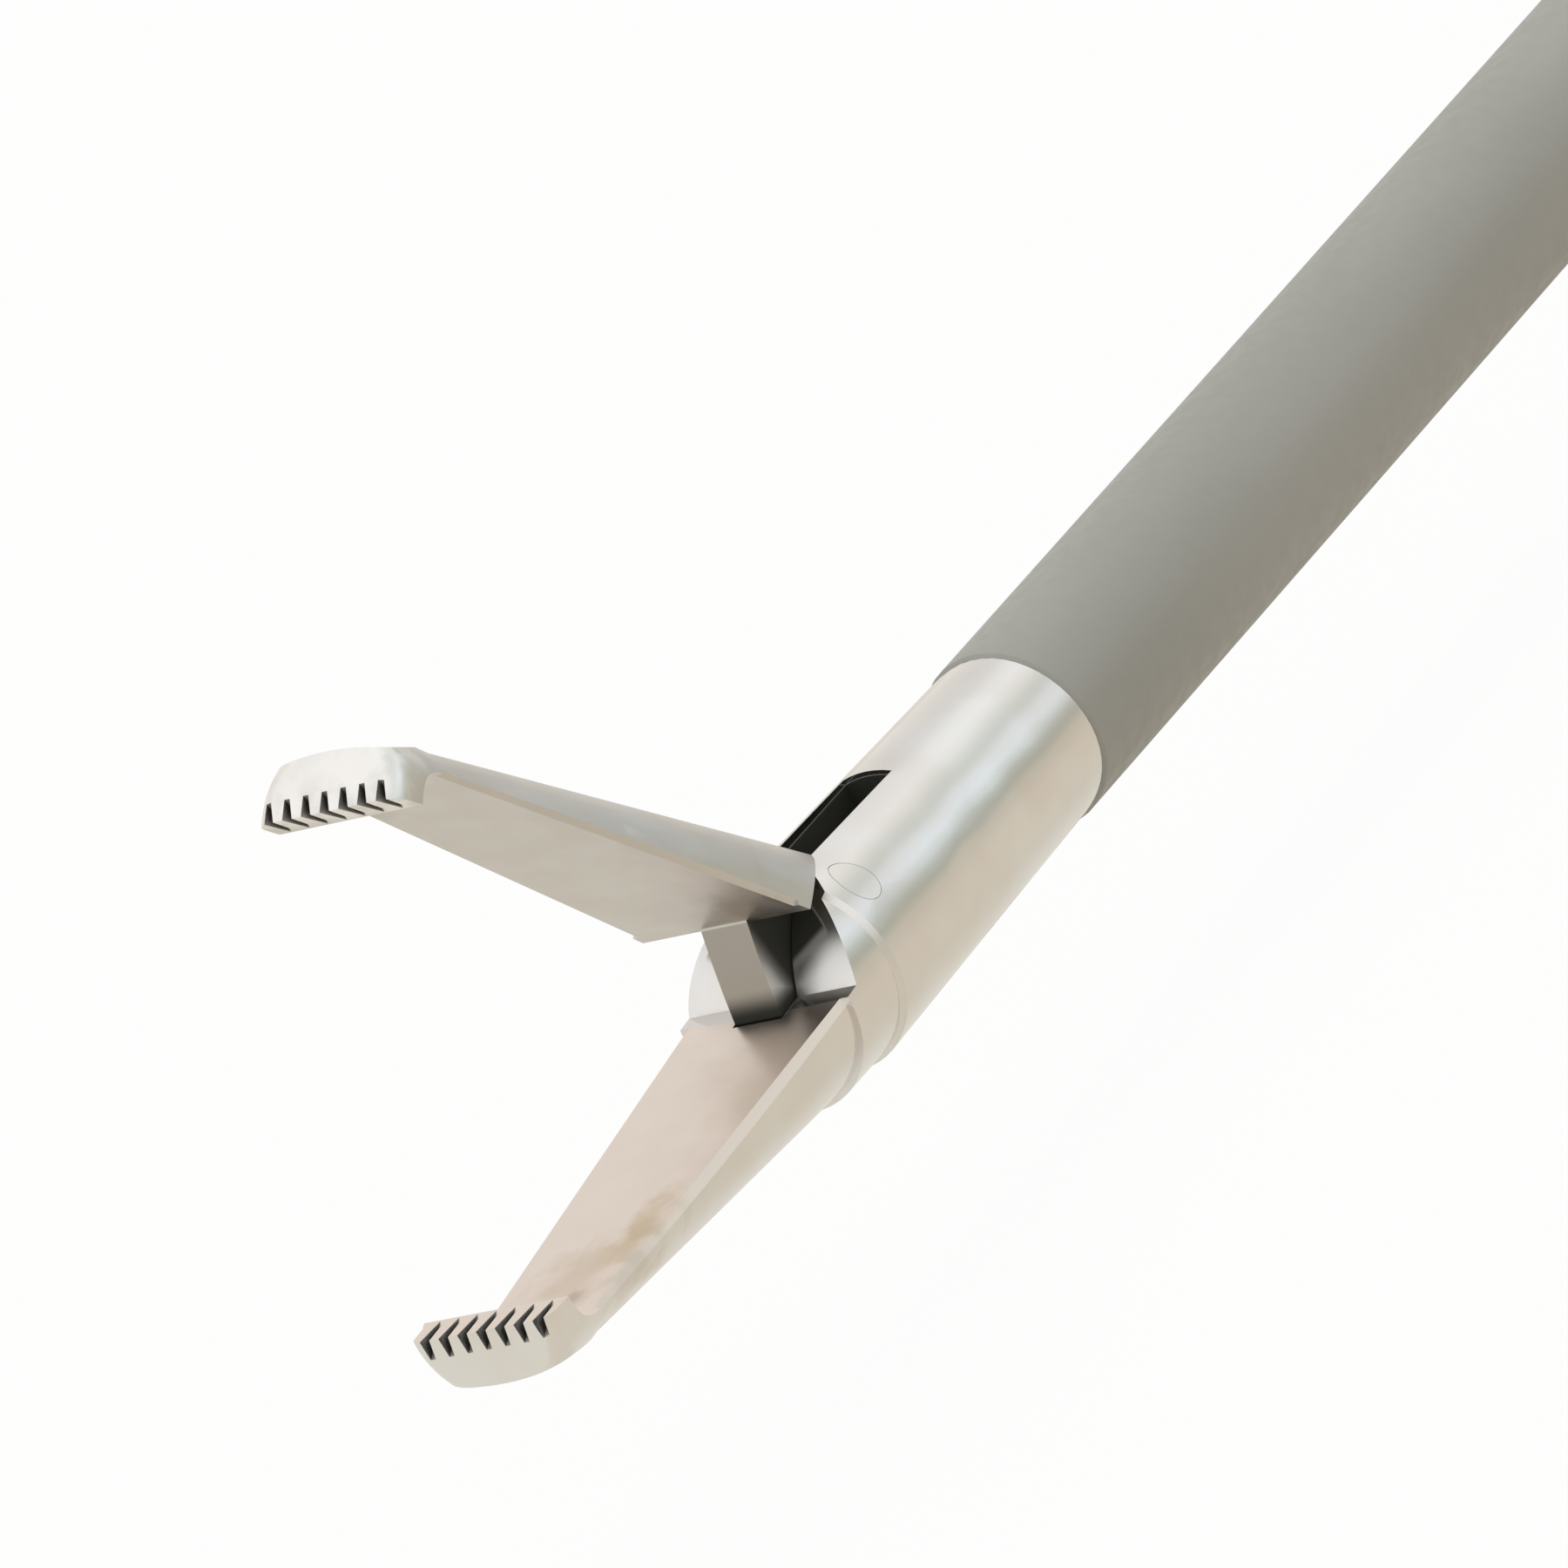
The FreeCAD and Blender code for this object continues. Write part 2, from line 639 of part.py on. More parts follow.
def body_block():
    """The housing round the lever's head: a rounded plate seen from above, with soft rims."""
    front = flange_back_x - throat_length
    r = body_corner
    x0, x1, y0, y1 = body_back_x, front, body_bottom_y, body_top_y
    k = r * (1 - math.sqrt(0.5))
    edges = [
        line(V(x0 + r, y0, 0), V(x1 - r, y0, 0)),
        arc(V(x1 - r, y0, 0), V(x1 - k, y0 + k, 0), V(x1, y0 + r, 0)),
        line(V(x1, y0 + r, 0), V(x1, y1 - r, 0)),
        arc(V(x1, y1 - r, 0), V(x1 - k, y1 - k, 0), V(x1 - r, y1, 0)),
        line(V(x1 - r, y1, 0), V(x0 + r, y1, 0)),
        arc(V(x0 + r, y1, 0), V(x0 + k, y1 - k, 0), V(x0, y1 - r, 0)),
        line(V(x0, y1 - r, 0), V(x0, y0 + r, 0)),
        arc(V(x0, y0 + r, 0), V(x0 + k, y0 + k, 0), V(x0 + r, y0, 0)),
    ]
    solid = plate(edges, V(0, 0, -body_half_z), V(0, 0, 2 * body_half_z))
    rims = [e for e in solid.Edges if e.BoundBox.ZLength < body_half_z]
    return solid.makeFillet(body_round, rims)


def oval(center, normal, along, half_along, half_across):
    """An elliptical outline across normal; along is the direction of half_along."""
    across = normal.cross(along)
    if half_along >= half_across:
        curve = Part.Ellipse(center + along * half_along, center + across * half_across, center)
    else:
        curve = Part.Ellipse(center + across * half_across, center + along * half_along, center)
    return Part.Wire([curve.toShape()])


def finger_ring():
    """A long ring: an oval bar swept round two half circles joined by straight sides."""
    cx, cy = finger_ring_x, finger_ring_y
    a = finger_ring_half_x
    s = finger_ring_half_y - a
    path = Part.Wire([
        line(V(cx + a, cy - s, 0), V(cx + a, cy + s, 0)),
        arc(V(cx + a, cy + s, 0), V(cx, cy + s + a, 0), V(cx - a, cy + s, 0)),
        line(V(cx - a, cy + s, 0), V(cx - a, cy - s, 0)),
        arc(V(cx - a, cy - s, 0), V(cx, cy - s - a, 0), V(cx + a, cy - s, 0)),
    ])
    section = oval(V(cx + a, cy - s, 0), V(0, 1, 0), V(0, 0, 1), ring_bar_height / 2, ring_bar_width / 2)
    return path.makePipeShell([section], True, False)


def handle_arm():
    """The arm from the housing's round throat down to the finger ring."""
    ring_top_y = finger_ring_y + finger_ring_half_y
    throat_x = flange_back_x - throat_length / 2 - arm_back
    waist = V((throat_x + finger_ring_x) / 2, ring_top_y / 2 - arm_waist_drop, 0)
    places = [V(throat_x, 0, 0), waist, V(finger_ring_x, ring_top_y, 0)]
    outlines = [oval(place, V(0, 1, 0), V(1, 0, 0), *half) for place, half in zip(places, arm_halves)]
    return Part.makeLoft(outlines, True)


def lever_room():
    """The room that the lever's head swings in, open below, and the way out for its arm at the back."""
    z = lever_room_half_z
    back_x = body_back_x + rear_wall
    low_y = body_bottom_y - past
    room = block(back_x, lever_room_x, low_y, lever_room_roof_y, -z, z)
    way = block(body_back_x - past, back_x + past, low_y, lever_pivot_y - rear_wall_above_pivot, -z, z)
    return room.fuse(way)


def shaft_bores():
    """On the shaft's axis inside the housing: bushing seat, rinsing room, seal seat, rod's way."""
    bush_seat = rod_along_x(bush_d + 2 * glue_gap, bush_back_x, flange_back_x + past)
    rinsing_room = rod_along_x(cavity_d, partition_x, bush_back_x)
    seal_seat = rod_along_x(seal_d + 2 * glue_gap, lever_room_x + seal_shelf, partition_x + past)
    rod_way = rod_along_x(rod_way_d, lever_room_x - past, partition_x)
    return bush_seat.fuse([rinsing_room, seal_seat, rod_way])


def pivot_bores():
    """The hole for the lever's pivot screw, with a sunk seat for its head and one for its nut."""
    x, y = lever_pivot_x, lever_pivot_y
    outside = body_half_z + past
    seat_d = screw_head_d + 2 * head_gap
    hole = rod_along_z(shoulder_d + 2 * glue_gap, -outside, outside, x, y)
    head_seat = rod_along_z(seat_d, screw_seat_z, outside, x, y)
    nut_seat = rod_along_z(seat_d, -outside, -screw_seat_z, x, y)
    return hole.fuse([head_seat, nut_seat])


def handle_body():
    throat_back_x = flange_back_x - throat_length - body_corner
    throat = rod_along_x(2 * body_half_z, throat_back_x, flange_back_x)
    collar_top_y = body_top_y + collar_height
    collar = rod_along_y(collar_d, body_top_y - body_round, collar_top_y, connector_x)
    port_boss = rod_along_y(port_boss_d, 0, port_seat_y, port_x)
    whole = body_block().fuse([throat, handle_arm(), finger_ring(), collar, port_boss])
    whole = whole.cut(lever_room())
    whole = whole.cut(shaft_bores())
    whole = whole.cut(pivot_bores())
    whole = whole.cut(rod_along_y(port_base_d + 2 * glue_gap, 0, port_seat_y + past, port_x))
    pin_hole = rod_along_y(
        connector_root_d + 2 * glue_gap, body_top_y - connector_sunk, collar_top_y + past, connector_x)
    return whole.cut(pin_hole)


def rod_seal():
    return tube_along_x(seal_d, rod_d + 2 * guide_gap, lever_room_x + seal_shelf, partition_x)


def flush_port():
    low = cavity_d / 2
    top = port_seat_y + port_height
    base = rod_along_y(port_base_d, low, port_seat_y, port_x)
    flange = rod_along_y(port_flange_d, port_seat_y, port_seat_y + port_flange_thickness, port_x)
    luer = rod_along_y(port_luer_d, port_seat_y, top, port_x)
    lip = rod_along_y(port_lip_d, top - port_lip_height, top, port_x)
    bore = rod_along_y(port_bore_d, low - past, top + past, port_x)
    return base.fuse([flange, luer, lip]).cut(bore)


def flush_cap():
    low = port_seat_y + port_flange_thickness + glue_gap
    port_top = port_seat_y + port_height
    top = port_top + cap_roof
    cap = rod_along_y(cap_d, low, top, port_x)
    cap = cap.makeFillet(cap_round, [e for e in cap.Edges if e.Closed and e.CenterOfMass.y > port_top])
    return cap.cut(rod_along_y(port_lip_d + 2 * glue_gap, low - past, port_top + glue_gap, port_x))


def connector_pin():
    """Its free end takes the cable's socket; a thinner root is screwed into the housing's collar."""
    seat_y = body_top_y + collar_height
    top = seat_y + connector_free
    pin = rod_along_y(connector_d, seat_y, top, connector_x)
    free_rim = [e for e in pin.Edges if e.Closed and e.CenterOfMass.y > seat_y + connector_round]
    pin = pin.makeFillet(connector_round, free_rim)
    return pin.fuse(rod_along_y(connector_root_d, body_top_y - connector_sunk, seat_y, connector_x))


def lever_head():
    """The block over the pivot that holds the rod's ball, before its pocket is cut."""
    half = ball_d / 2 + ball_gap + lever_wall
    half_z = lever_thickness / 2
    head = block(lever_pivot_x - half, lever_pivot_x + half, lever_pivot_y, lever_top_y, -half_z, half_z)
    upright = [e for e in head.Edges if e.BoundBox.ZLength > half_z and e.BoundBox.Center.y > 0]
    head = head.makeFillet(lever_corner, upright)
    return head.fuse(rod_along_z(lever_hub_d, -half_z, half_z, lever_pivot_x, lever_pivot_y))


def ball_pocket():
    """The pocket for the ball, open at the top, and the way out for its neck at the front."""
    x = lever_pivot_x
    pocket_r = ball_d / 2 + ball_gap
    neck_r = neck_d / 2
    z = lever_thickness
    open_y = lever_top_y + past
    front_x = x + pocket_r + lever_wall + past
    pocket = rod_along_z(2 * pocket_r, -z, z, x, 0)
    pocket = pocket.fuse(block(x - pocket_r, x + pocket_r, 0, open_y, -z, z))
    half_z = neck_r + neck_side_gap
    neck_way = block(x, front_x, -neck_r - neck_way_gap, open_y, -half_z, half_z)
    return pocket.fuse(neck_way)


def thumb_ring():
    """A round ring with the same oval bar as the finger ring."""
    ring = Part.makeTorus(thumb_ring_r, ring_bar_width / 2, V(0, 0, 0), V(0, 0, 1))
    stretch = FreeCAD.Matrix()
    stretch.scale(1.0, 1.0, ring_bar_height / ring_bar_width)
    return ring.transformGeometry(stretch)


def thumb_lever():
    """Modelled half way through its swing, then turned back to the open stop."""
    pivot = V(lever_pivot_x, lever_pivot_y, 0)
    reach = math.radians(thumb_dir)
    out = V(math.cos(reach), math.sin(reach), 0)
    side = V(0, 0, 1).cross(out)
    ring = thumb_ring()
    ring.translate(pivot + out * thumb_reach)
    arm_end = thumb_reach - thumb_ring_r
    stations = (lever_hub_d / 2 - lever_arm_root, arm_end * lever_arm_waist, arm_end)
    outlines = [oval(pivot + out * at, out, side, *half) for at, half in zip(stations, lever_arm_halves)]
    whole = lever_head().fuse([Part.makeLoft(outlines, True), ring])
    whole = whole.cut(ball_pocket())
    pivot_hole = rod_along_z(
        shoulder_d + 2 * journal_gap, -lever_thickness, lever_thickness, lever_pivot_x, lever_pivot_y)
    whole = whole.cut(pivot_hole)
    whole.rotate(pivot, V(0, 0, 1), -math.degrees(lever_travel / 2))
    return whole


def rod_ball():
    neck_end = ball_x + neck_length
    ball = Part.makeSphere(ball_d / 2, V(ball_x, 0, 0))
    neck = rod_along_x(neck_d, ball_x, neck_end)
    return ball.fuse(neck).cut(rod_along_x(rod_d + 2 * glue_gap, ball_x + ball_d / 2, neck_end + past))


def ball_lock_nut():
    nut = hexagon_along_z(lock_nut_flats, 0, lock_nut_thickness)
    nut = nut.cut(rod_along_z(rod_d + 2 * glue_gap, -past, lock_nut_thickness + past))
    nut.rotate(V(0, 0, 0), V(0, 1, 0), 90)
    nut.translate(V(ball_x + neck_length, 0, 0))
    return nut


def driver_slot(z_low, z_high):
    """The straight slot for a screwdriver, across the pivot screw or its nut."""
    half_x = screw_head_d / 2 + past
    half_y = driver_slot_width / 2
    x, y = lever_pivot_x, lever_pivot_y
    return block(x - half_x, x + half_x, y - half_y, y + half_y, z_low, z_high)


def pivot_screw():
    """Head, running shoulder and thinner threaded end, which the nut goes on."""
    x, y = lever_pivot_x, lever_pivot_y
    low = screw_seat_z + glue_gap
    top = low + screw_head_thickness
    shoulder_low = thrust_gap - screw_seat_z
    thread_low = driver_slot_depth - screw_seat_z - screw_head_thickness
    head = rod_along_z(screw_head_d, low, top, x, y)
    shoulder = rod_along_z(shoulder_d, shoulder_low, low, x, y)
    thread = rod_along_z(thread_d, thread_low, shoulder_low, x, y)
    return head.fuse([shoulder, thread]).cut(driver_slot(top - driver_slot_depth, top + past))


def pivot_nut():
    x, y = lever_pivot_x, lever_pivot_y
    top = -screw_seat_z - glue_gap
    low = top - screw_head_thickness
    nut = rod_along_z(screw_head_d, low, top, x, y)
    nut = nut.cut(rod_along_z(thread_d + 2 * glue_gap, low - past, top + past, x, y))
    return nut.cut(driver_slot(low - past, low + driver_slot_depth))


def pivot_washers():
    """One on each side of the lever, which keep it in the middle of its room."""
    x, y = lever_pivot_x, lever_pivot_y
    washers = []
    for z in (lever_thickness / 2 + glue_gap, -lever_thickness / 2 - glue_gap - washer_thickness):
        ring = rod_along_z(washer_d, z, z + washer_thickness, x, y)
        hole = rod_along_z(shoulder_d + 2 * glue_gap, z - past, z + washer_thickness + past, x, y)
        washers.append(ring.cut(hole))
    return Part.makeCompound(washers)


def export(name, shape):
    solids = shape.Solids
    result = solids[0] if len(solids) == 1 else Part.makeCompound(solids)
    result.exportStep(os.path.join("parts", name + ".step"))
    print(name, len(solids), "valid" if result.isValid() else "NOT VALID", round(result.Volume, 3))


def main():
    os.makedirs("parts", exist_ok=True)
    makers = [
        jaw_body, moving_jaw, jaw_pivot_pin, drive_pin, rod_fork, pull_rod, shaft_tube, insulating_sleeve,
        rotation_knob, knob_set_screw, shaft_hub, hub_o_ring, hub_retaining_ring, front_bushing,
        handle_body, rod_seal, flush_port, flush_cap, connector_pin, thumb_lever, rod_ball, ball_lock_nut,
        pivot_screw, pivot_nut, pivot_washers]
    for maker in makers:
        export(maker.__name__, maker())
    for number, guide in enumerate(rod_guides(), start=1):
        export(f"rod_guide_{number}", guide)
    print("rod travel", round(rod_travel, 4), "lever travel", round(math.degrees(lever_travel), 3))


main()
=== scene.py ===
# %% [markdown]
# # Endoscopic grasping forceps: the looks
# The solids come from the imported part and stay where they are. This file gives every one of them
# its finish, sets the camera where the photograph was taken from, and lights a pale table top.
# All lengths are in metres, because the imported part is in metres.

# %% Load the solids
import bpy
import bmesh
import json
import math
from mathutils import Matrix, Vector


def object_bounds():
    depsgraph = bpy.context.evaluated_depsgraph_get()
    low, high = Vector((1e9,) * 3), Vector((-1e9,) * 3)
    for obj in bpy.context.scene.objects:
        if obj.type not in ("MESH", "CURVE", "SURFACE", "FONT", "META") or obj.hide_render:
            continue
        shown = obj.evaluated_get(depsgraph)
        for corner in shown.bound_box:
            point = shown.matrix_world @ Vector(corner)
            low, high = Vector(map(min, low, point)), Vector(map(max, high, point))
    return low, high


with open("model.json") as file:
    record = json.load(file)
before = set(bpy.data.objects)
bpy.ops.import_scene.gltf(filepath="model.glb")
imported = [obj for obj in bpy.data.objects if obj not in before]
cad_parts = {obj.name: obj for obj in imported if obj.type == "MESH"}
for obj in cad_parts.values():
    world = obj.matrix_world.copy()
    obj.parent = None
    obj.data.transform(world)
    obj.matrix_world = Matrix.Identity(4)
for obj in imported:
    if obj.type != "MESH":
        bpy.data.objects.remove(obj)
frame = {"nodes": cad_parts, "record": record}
cad_low, cad_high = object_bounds()
nodes = frame["nodes"]
print(len(nodes), "solids, box", [round(v, 4) for v in (*cad_low, *cad_high)])

# %% [markdown]
# ## Camera
# The view was found by fitting a pinhole camera to the edges of the steel end piece, with the
# shaft's 5 mm as the scale. Such a fit gives two tilt angles, a roll and a distance. The lens is
# long, as a macro lens is. The small shift keeps the frame where the photograph has it without
# turning the camera, which would change the perspective.

# %% Place the camera
MM = 0.001
shaft_diameter = 5 * MM
look_at = Vector((13.25 * MM, 0, 0))
tilt_out, tilt_up, roll = 0.8153, 0.5051, 2.2943
diameter_over_distance = 0.0107
sensor_width = 36
pixels_across = 1800
pixels_per_shaft = 239.2164
centre_pixel = (881.4158, 1173.2431)


def camera_axes():
    """The camera's own axes in the world: right, up, and back towards the camera."""
    # each axis of the part as it runs in the picture, whose second number counts downwards
    e1 = Vector((math.cos(roll), math.sin(roll)))
    e2 = Vector((-e1.y, e1.x))
    x_seen = math.cos(tilt_out) * e1
    z_seen = -math.sin(tilt_out) * math.sin(tilt_up) * e1 + math.cos(tilt_up) * e2
    y_seen = -math.sin(tilt_out) * math.cos(tilt_up) * e1 - math.sin(tilt_up) * e2
    right = Vector((x_seen.x, y_seen.x, z_seen.x))
    up = -Vector((x_seen.y, y_seen.y, z_seen.y))
    level = math.cos(tilt_out)
    return right, up, Vector((math.sin(tilt_out), math.cos(tilt_up) * level, math.sin(tilt_up) * level))


right, up, towards = camera_axes()
distance = shaft_diameter / diameter_over_distance
camera_data = bpy.data.cameras.new("macro_camera")
camera = bpy.data.objects.new("macro_camera", camera_data)
bpy.context.scene.collection.objects.link(camera)
turn = Matrix((right, up, towards)).transposed().to_4x4()
camera.matrix_world = Matrix.Translation(look_at + towards * distance) @ turn
camera_data.sensor_width = sensor_width
camera_data.lens = sensor_width * pixels_per_shaft / diameter_over_distance / pixels_across
camera_data.shift_x = 0.5 - centre_pixel[0] / pixels_across
camera_data.shift_y = centre_pixel[1] / pixels_across - 0.5
camera_data.clip_start = 0.01
camera_data.clip_end = 50
bpy.context.scene.camera = camera
print("lens", round(camera_data.lens), "mm, handedness", round(right.cross(up).dot(towards), 4))

# %% [markdown]
# ## Nodes in code
# A material is a tree of small nodes, joined by links. In Blender's own words each node takes
# several lines: make it, set its numbers, join its sockets. These helpers do that in one call.
# They take a plain number or colour, or the socket of another node, so that a finish can be
# written much as a sum is.

# %% Helpers for nodes
def new_finish(name):
    made = bpy.data.materials.new(name)
    made.use_nodes = True
    return made, made.node_tree, made.node_tree.nodes["Principled BSDF"]


def feed(tree, socket, value):
    """Joins another node's socket to this one, or writes a number, vector or colour on it."""
    if hasattr(value, "is_linked"):
        tree.links.new(value, socket)
    elif socket.type == "RGBA":
        socket.default_value = (*value, 1)
    else:
        socket.default_value = value


def calc(tree, operation, *values):
    """A Math node."""
    node = tree.nodes.new("ShaderNodeMath")
    node.operation = operation
    for socket, value in zip(node.inputs, values):
        feed(tree, socket, value)
    return node.outputs[0]


def reading(tree, kind):
    """Object is where a point is, Normal how its surface faces, Generated the way into the sky."""
    return tree.nodes.new("ShaderNodeTexCoord").outputs[kind]


def parts_of(tree, vector):
    """A vector's X, Y and Z, to be called by these names."""
    parts = tree.nodes.new("ShaderNodeSeparateXYZ")
    tree.links.new(vector, parts.inputs[0])
    return parts.outputs


print("helpers:", ", ".join(made.__name__ for made in (new_finish, feed, calc, reading, parts_of)))

# %% [markdown]
# ## Three kinds of eye
# The camera, mirrors and matt surfaces all look at the table and at the room, and each may be
# shown something else. A Light Path node tells them apart, and what it says becomes the factor of
# a Mix Shader. The camera is shown white, as in the photograph. Mirrors are shown a painted room.

# %% Helpers for what each eye sees
WHITE = (1, 1, 1)


def seen_by_mirrors(tree):
    """1 where a mirror or glass looks, 0 for the camera and for scattered light."""
    ray = tree.nodes.new("ShaderNodeLightPath")
    return calc(tree, "MAXIMUM", ray.outputs["Is Glossy Ray"], ray.outputs["Is Transmission Ray"])


def seen_by_camera(tree):
    return tree.nodes.new("ShaderNodeLightPath").outputs["Is Camera Ray"]


def mixed_surfaces(tree, factor, a, b):
    node = tree.nodes.new("ShaderNodeMixShader")
    for socket, source in zip(node.inputs, (factor, a, b)):
        tree.links.new(source, socket)
    return node.outputs[0]


def glow(tree, kind, colour, strength=1.0):
    """Light of one colour: kind is Emission on a surface, and Background in a world."""
    node = tree.nodes.new("ShaderNode" + kind)
    feed(tree, node.inputs["Color"], colour)
    node.inputs["Strength"].default_value = strength
    return node.outputs[0]


print("white is", WHITE)

# %% [markdown]
# ## Table
# The photograph has no visible table: everything behind the instrument is white. A plain pale
# disc under the handle stands in for it. A floor that is lit white would throw too much light
# back at the steel, so the disc keeps an ordinary pale colour, and only the camera sees it nearly
# white. Mirrors see a third thing, a painted reflection: the disc glows for them as the polished
# steel shows the real table, warm and pale close to the shaft, greyer and darker out on the +Y
# side. That is a Color Ramp over the distance from the shaft's axis. The object's shadow stays, but
# faint.

# %% Paint the table
# how the table looks in the steel, at so many millimetres from the shaft's axis towards +Y
table_strip = [
    (0, (0.80, 0.77, 0.69)), (4, (0.73, 0.675, 0.57)), (16, (0.72, 0.645, 0.535)),
    (28, (0.64, 0.59, 0.495)), (100, (0.53, 0.51, 0.43)), (120, (0.50, 0.50, 0.42))]
paper_colour = (0.74, 0.68, 0.60)
painted_share = 0.85
white_share = 0.96


def colour_strip(tree, position, stops):
    """The colour at a position from 0 to 1 on a strip, which is a list of (position, colour)."""
    ramp = tree.nodes.new("ShaderNodeValToRGB")
    points = ramp.color_ramp.elements
    while len(points) < len(stops):
        points.new(0.5)
    for point, (stop, colour) in zip(points, stops):
        point.position = stop
        point.color = (*colour, 1)
    tree.links.new(position, ramp.inputs["Fac"])
    return ramp.outputs["Color"]


def pale_table_top():
    made, tree, paper = new_finish("pale_table_top")
    feed(tree, paper.inputs["Base Color"], paper_colour)
    paper.inputs["Roughness"].default_value = 0.9
    strip_width = table_strip[-1][0]
    stops = [(from_axis / strip_width, colour) for from_axis, colour in table_strip]
    away = calc(tree, "MAXIMUM", parts_of(tree, reading(tree, "Object"))["Y"], 0)
    painted = colour_strip(tree, calc(tree, "DIVIDE", away, strip_width * MM), stops)
    to_mirrors = calc(tree, "MULTIPLY", seen_by_mirrors(tree), painted_share)
    look = mixed_surfaces(tree, to_mirrors, paper.outputs[0], glow(tree, "Emission", painted))
    to_camera = calc(tree, "MULTIPLY", seen_by_camera(tree), white_share)
    look = mixed_surfaces(tree, to_camera, look, glow(tree, "Emission", WHITE))
    tree.links.new(look, tree.nodes["Material Output"].inputs["Surface"])
    return made


table_top = pale_table_top()
print(table_top.name, "shows the steel", len(table_strip), "colours")

# %% [markdown]
# The disc is far wider than the view, so that no edge of it shows in the picture or in the steel.
# It lies as high as the part's lowest point, so that the handle rests on it.

# %% Lay the table
table_radius = 6.0


def disc(name, radius, z):
    mesh = bpy.data.meshes.new(name)
    shape = bmesh.new()
    bmesh.ops.create_circle(shape, cap_ends=True, segments=96, radius=radius)
    shape.to_mesh(mesh)
    shape.free()
    thing = bpy.data.objects.new(name, mesh)
    thing.location.z = z
    bpy.context.scene.collection.objects.link(thing)
    return thing


table = disc("table", table_radius, cad_low.z)
table.data.materials.append(table_top)
print("table at", round(cad_low.z, 4))

# %% [markdown]
# ## Room
# Polished steel has hardly a colour of its own: what one sees is the room in it. On a round bar
# the room shows as bands along the bar, white where a soft box stands and grey in the gaps between
# them, with a dark line where the table ends. Cards round the object could give those bands, but
# they would also shade the table. So the room is painted in the world itself, as a strip of
# colours that runs round the shaft's axis, and only mirrors see it. In front of the jaws, and
# well above the table, it opens to white. The light that falls on the object is one even tone.

# %% Paint the room
# degrees round the shaft's axis: 0 is level towards +Y, 90 straight up, 180 level towards -Y
room_strip = [
    (-180, (0.80, 0.75, 0.69)), (-1, (0.50, 0.50, 0.42)), (0, (0.49, 0.49, 0.42)),
    (5, (0.51, 0.53, 0.47)), (11, (0.58, 0.60, 0.55)), (17, (0.71, 0.76, 0.74)),
    (28, (0.87, 0.93, 0.96)), (40, (0.86, 0.89, 0.90)), (52, (0.71, 0.74, 0.71)),
    (61, (0.75, 0.78, 0.74)), (75, (0.92, 0.92, 0.90)), (88, (0.99, 0.99, 0.98)),
    (102, (0.94, 0.94, 0.93)), (117, (0.83, 0.82, 0.80)), (135, (0.79, 0.77, 0.755)),
    (157, (0.83, 0.80, 0.745)), (180, (0.87, 0.84, 0.80))]
front_white = (1, 1, 0.99)
front_opens, above_opens = (0.05, 0.45), (0.10, 0.30)
even_light = 0.55


def smooth_step(tree, value, low, high, out_low=0.0, out_high=1.0):
    """Eases from out_low to out_high while the value goes from low to high."""
    step = tree.nodes.new("ShaderNodeMapRange")
    step.interpolation_type = "SMOOTHSTEP"
    ends = {"From Min": low, "From Max": high, "To Min": out_low, "To Max": out_high}
    for name, number in ends.items():
        step.inputs[name].default_value = number
    tree.links.new(value, step.inputs["Value"])
    return step.outputs[0]


def mixed(tree, factor, a, b, kind="RGBA"):
    """A colour between a and b, or a number where kind is FLOAT."""
    node = tree.nodes.new("ShaderNodeMix")
    node.data_type = kind
    for name, value in (("Factor", factor), ("A", a), ("B", b)):
        feed(tree, node.inputs[name], value)
    return node.outputs["Result"]


def white_room():
    world = bpy.data.worlds.new("white_room")
    world.use_nodes = True
    tree = world.node_tree
    tree.nodes.clear()
    way = parts_of(tree, reading(tree, "Generated"))
    angle = calc(tree, "ARCTAN2", way["Z"], way["Y"])
    round_axis = calc(tree, "MULTIPLY_ADD", angle, 0.5 / math.pi, 0.5)
    stops = [(0.5 + degrees / 360, colour) for degrees, colour in room_strip]
    in_front = smooth_step(tree, way["X"], *front_opens)
    above = smooth_step(tree, way["Z"], *above_opens)
    open_front = calc(tree, "MULTIPLY", in_front, above)
    painted = mixed(tree, open_front, colour_strip(tree, round_axis, stops), front_white)
    lit = glow(tree, "Background", WHITE, even_light)
    look = mixed_surfaces(tree, seen_by_mirrors(tree), lit, glow(tree, "Background", painted))
    look = mixed_surfaces(tree, seen_by_camera(tree), look, glow(tree, "Background", WHITE))
    tree.links.new(look, tree.nodes.new("ShaderNodeOutputWorld").inputs["Surface"])
    return world


bpy.context.scene.world = white_room()
bpy.context.scene.view_settings.view_transform = "Standard"
print(len(room_strip), "colours round the axis")

# %% [markdown]
# ## Lamps
# One wide soft lamp overhead and a smaller one from the side give the grey sleeve and the black
# handle their shape. They are hidden from mirrors, because the painted room already holds the
# soft boxes that the steel shows. Their level is such that a colour renders about as it is written.

# %% Hang the lamps
def soft_lamp(name, place, target, size, watts):
    data = bpy.data.lights.new(name, "AREA")
    data.shape = "RECTANGLE"
    data.size, data.size_y = size
    data.energy = watts
    lamp = bpy.data.objects.new(name, data)
    lamp.location = place
    lamp.rotation_euler = (Vector(target) - Vector(place)).to_track_quat("-Z", "Y").to_euler()
    lamp.visible_glossy = False
    bpy.context.scene.collection.objects.link(lamp)
    return lamp


lamps = [
    soft_lamp("overhead_lamp", place=(0.0, -0.2, 1.6), target=(-0.1, 0, 0), size=(1.6, 1.2), watts=14),
    soft_lamp("side_lamp", place=(0.9, 1.3, 0.7), target=(0, 0, 0), size=(0.9, 0.7), watts=3)]
print(len(lamps), "lamps,", sum(lamp.data.energy for lamp in lamps), "W")

